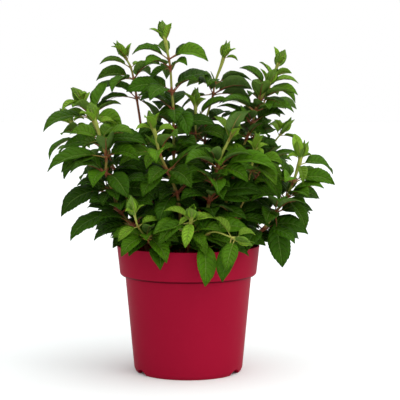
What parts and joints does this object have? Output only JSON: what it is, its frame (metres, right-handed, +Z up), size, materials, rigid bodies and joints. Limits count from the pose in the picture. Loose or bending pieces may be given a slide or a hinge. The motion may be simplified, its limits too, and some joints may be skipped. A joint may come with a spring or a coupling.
{
  "type": "potted hydrangea",
  "caption": "Young bushy hydrangea with paired leaves on upright canes, rooted in soil in a round tapered nursery pot with a deep rim band.",
  "frame": {"origin": "centre of the pot's foot on the surface it stands on, on the pot's axis", "axes": "+Z up the pot's axis, -Y the front of the plant as seen, +X to the plant's right as seen from the front"},
  "size_m": [0.3937, 0.2848, 0.4731],
  "materials": {
    "crimson_plastic": "satin moulded polypropylene, deep crimson",
    "potting_soil": "moist dark peat and bark crumbs",
    "cane_bark": "smooth young bark, yellow-green above and red-brown at the nodes and foot",
    "leaf_blade": "satin living leaf with impressed veins, paler matte underside"
  },
  "bodies": {
    "root": {"pot": "crimson_plastic", "potting_soil": "potting_soil", "cane_back_centre": "cane_bark", "cane_back_left": "cane_bark", "cane_back_low_left": "cane_bark", "cane_back_low_right": "cane_bark", "cane_back_right": "cane_bark", "cane_centre": "cane_bark", "cane_cross": "cane_bark", "cane_far_right": "cane_bark", "cane_front_centre": "cane_bark", "cane_front_left": "cane_bark", "cane_front_right": "cane_bark", "cane_left": "cane_bark", "cane_low_left": "cane_bark", "cane_low_right": "cane_bark", "cane_pale": "cane_bark", "cane_right": "cane_bark", "cane_side_right": "cane_bark", "cane_tall": "cane_bark", "cane_tall_left": "cane_bark", "leaf_pair_01": "leaf_blade", "leaf_pair_02": "leaf_blade", "leaf_pair_03": "leaf_blade", "leaf_pair_04": "leaf_blade", "leaf_pair_05": "leaf_blade", "leaf_pair_06": "leaf_blade", "leaf_pair_07": "leaf_blade", "leaf_pair_08": "leaf_blade", "leaf_pair_09": "leaf_blade", "leaf_pair_10": "leaf_blade", "leaf_pair_11": "leaf_blade", "leaf_pair_12": "leaf_blade", "leaf_pair_13": "leaf_blade", "leaf_pair_14": "leaf_blade", "leaf_pair_15": "leaf_blade", "leaf_pair_16": "leaf_blade", "leaf_pair_17": "leaf_blade", "leaf_pair_18": "leaf_blade", "leaf_pair_19": "leaf_blade", "leaf_pair_20": "leaf_blade", "leaf_pair_21": "leaf_blade", "leaf_pair_22": "leaf_blade", "leaf_pair_23": "leaf_blade", "leaf_pair_24": "leaf_blade", "leaf_pair_25": "leaf_blade", "leaf_pair_26": "leaf_blade", "leaf_pair_27": "leaf_blade", "leaf_pair_28": "leaf_blade", "leaf_pair_29": "leaf_blade", "leaf_pair_30": "leaf_blade", "leaf_pair_31": "leaf_blade", "leaf_pair_32": "leaf_blade", "leaf_pair_33": "leaf_blade", "leaf_pair_34": "leaf_blade", "leaf_pair_35": "leaf_blade", "leaf_pair_36": "leaf_blade", "leaf_pair_37": "leaf_blade", "leaf_pair_38": "leaf_blade", "leaf_pair_39": "leaf_blade"}
  },
  "joints": []
}
